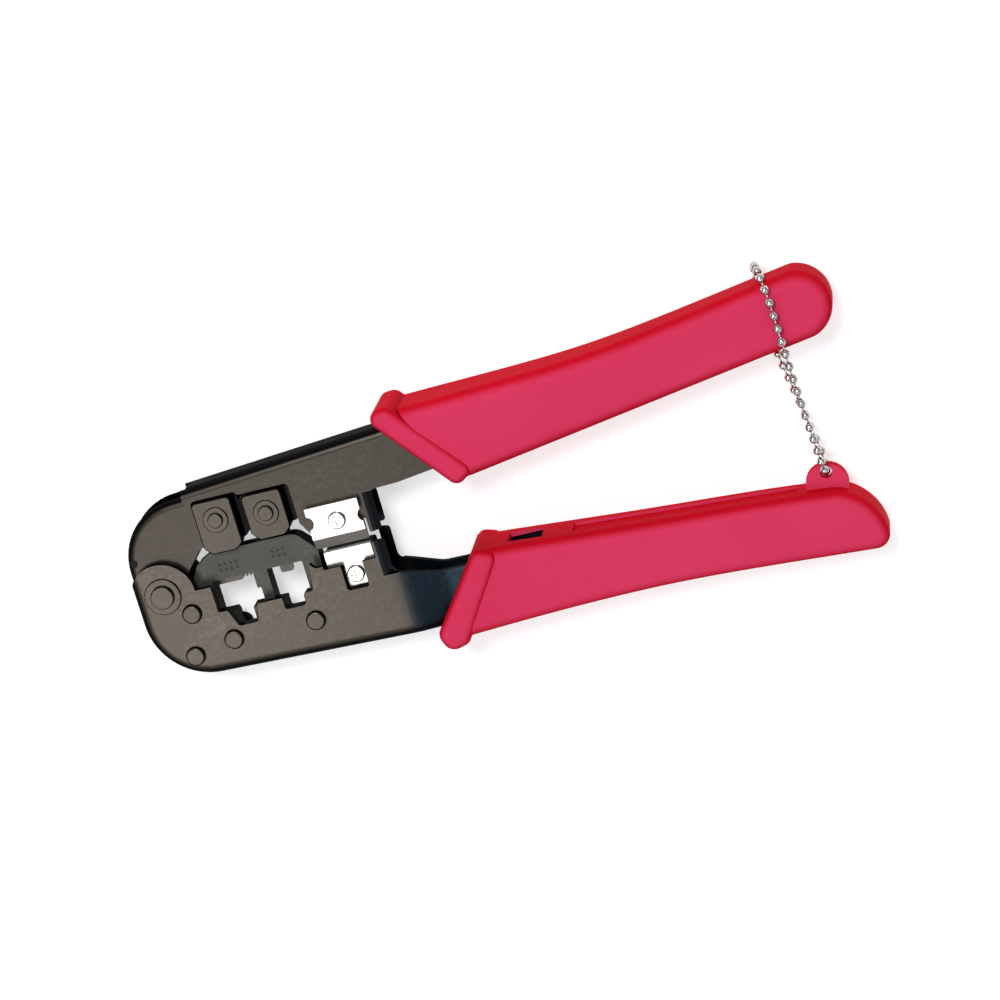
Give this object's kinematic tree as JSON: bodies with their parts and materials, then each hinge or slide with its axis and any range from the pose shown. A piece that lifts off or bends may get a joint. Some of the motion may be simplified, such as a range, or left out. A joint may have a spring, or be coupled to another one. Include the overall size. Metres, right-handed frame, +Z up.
{
  "type": "modular plug crimping tool",
  "caption": "Hand crimping tool for modular telephone and network plugs, with two folded-steel arms, plug nests, cutting blades, red grips and a bead chain.",
  "frame": {"origin": "centre of the object's box in X and Y, on the surface it lies on", "axes": "+X from the head to the grips, +Y the way the upper arm opens, +Z up through the tool's thickness"},
  "size_m": [0.1942, 0.0784, 0.0208],
  "materials": {
    "black_steel": "black-oxide sheet steel, satin, oiled",
    "die_steel": "blackened ground die steel, matt",
    "pad_steel": "blackened pressed steel, satin",
    "rivet_steel": "blackened steel, worn on the heads",
    "punch_steel": "hardened tool steel, ground",
    "spring_steel": "oiled spring wire",
    "bright_blade": "ground blade steel, bright",
    "bright_screw": "nickel-plated screw",
    "chain_metal": "nickel-plated ball chain",
    "red_grip": "fine-textured moulded vinyl, crimson"
  },
  "bodies": {
    "lower_arm": {"lower_frame": "black_steel", "lower_grip": "red_grip", "die_plate_front": "die_steel", "die_plate_back": "die_steel", "die_core": "die_steel", "spacer_front": "black_steel", "spacer_back": "black_steel", "frame_rivets": "rivet_steel", "pivot_rivet": "rivet_steel", "pivot_bush": "rivet_steel", "frame_spring_post": "rivet_steel", "return_spring": "spring_steel", "stripper_blade": "bright_blade", "stripper_screw": "bright_screw", "chain_beads": "chain_metal", "chain_links": "chain_metal"},
    "upper_arm_assembly": {"upper_arm": "black_steel", "upper_grip": "red_grip", "pressing_pad_8p_front": "pad_steel", "pressing_pad_8p_back": "pad_steel", "pressing_pad_6p_front": "pad_steel", "pressing_pad_6p_back": "pad_steel", "pressing_core_8p": "pad_steel", "pressing_core_6p": "pad_steel", "pressing_pad_rivets": "rivet_steel", "cutter_blade": "bright_blade", "cutter_screw": "bright_screw", "cutter_nut": "bright_screw", "arm_spring_post": "rivet_steel"},
    "punch_8p_slide": {"punch_8p": "punch_steel", "contact_blades_8p": "punch_steel"},
    "punch_6p_slide": {"punch_6p": "punch_steel", "contact_blades_6p": "punch_steel"}
  },
  "joints": [
    {"name": "arm_pivot", "type": "hinge", "parent": "lower_arm", "child": "upper_arm_assembly", "pos_m": [-0.08947, -0.00799, 0.0104], "axis": [0, 0, 1], "range_deg": [-4.8, 0], "stiffness_Nm_per_rad": 2, "springref_deg": 12, "deforming": ["return_spring", "chain_beads", "chain_links"]},
    {"name": "punch_8p_travel", "type": "slide", "parent": "lower_arm", "child": "punch_8p_slide", "axis": [0, -1, 0], "range_m": [0, 0.00166]},
    {"name": "punch_6p_travel", "type": "slide", "parent": "lower_arm", "child": "punch_6p_slide", "axis": [0, -1, 0], "range_m": [0, 0.00231]}
  ],
  "couplings": [
    {"joint": "punch_8p_travel", "follows": "arm_pivot", "m_per_rad": -0.019695},
    {"joint": "punch_6p_travel", "follows": "arm_pivot", "m_per_rad": -0.027454}
  ]
}
